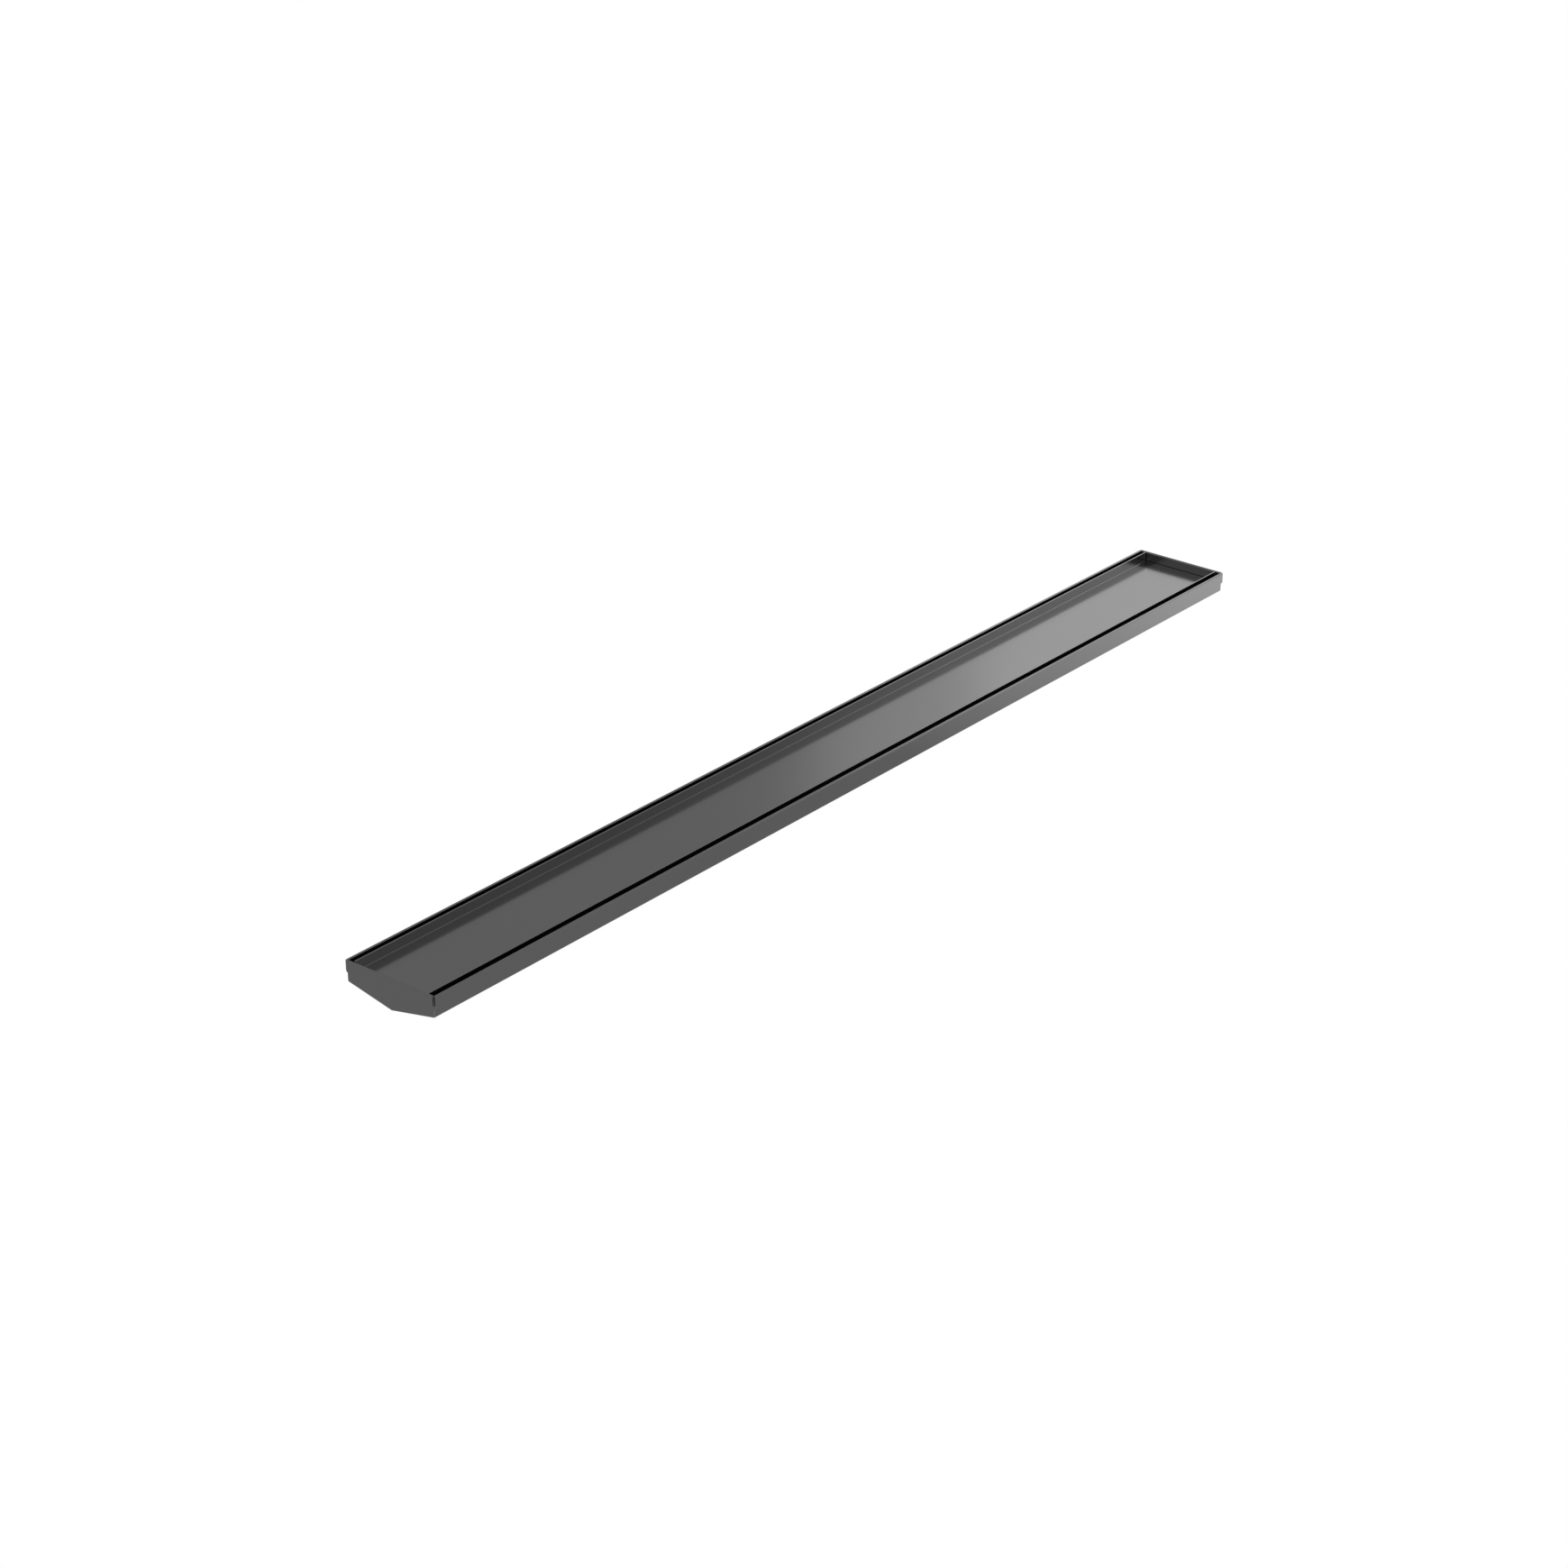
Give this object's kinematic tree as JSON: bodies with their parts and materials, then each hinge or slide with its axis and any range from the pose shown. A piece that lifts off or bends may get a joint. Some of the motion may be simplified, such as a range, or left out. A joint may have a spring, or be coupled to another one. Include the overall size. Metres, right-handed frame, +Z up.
{
  "type": "linear channel drain with tile insert",
  "caption": "Long floor drain: a V-floored sheet-metal trough with a hemmed rim, a recessed tray that takes a tile level with the rim, side slots for the water and a round outlet spigot below.",
  "frame": {"origin": "centre of the outlet spigot's lower rim, on the ground plane", "axes": "+X along the drain, +Y across it, +Z up out of the tray"},
  "size_m": [0.85, 0.075, 0.0268],
  "materials": {
    "gunmetal": "satin dark grey coat on stainless sheet"
  },
  "bodies": {
    "root": {"channel_body": "gunmetal", "end_plate_left": "gunmetal", "end_plate_right": "gunmetal", "outlet_spigot": "gunmetal", "tile_tray": "gunmetal", "tray_bracket_1": "gunmetal", "tray_bracket_2": "gunmetal", "tray_bracket_3": "gunmetal", "tray_bracket_4": "gunmetal"}
  },
  "joints": []
}
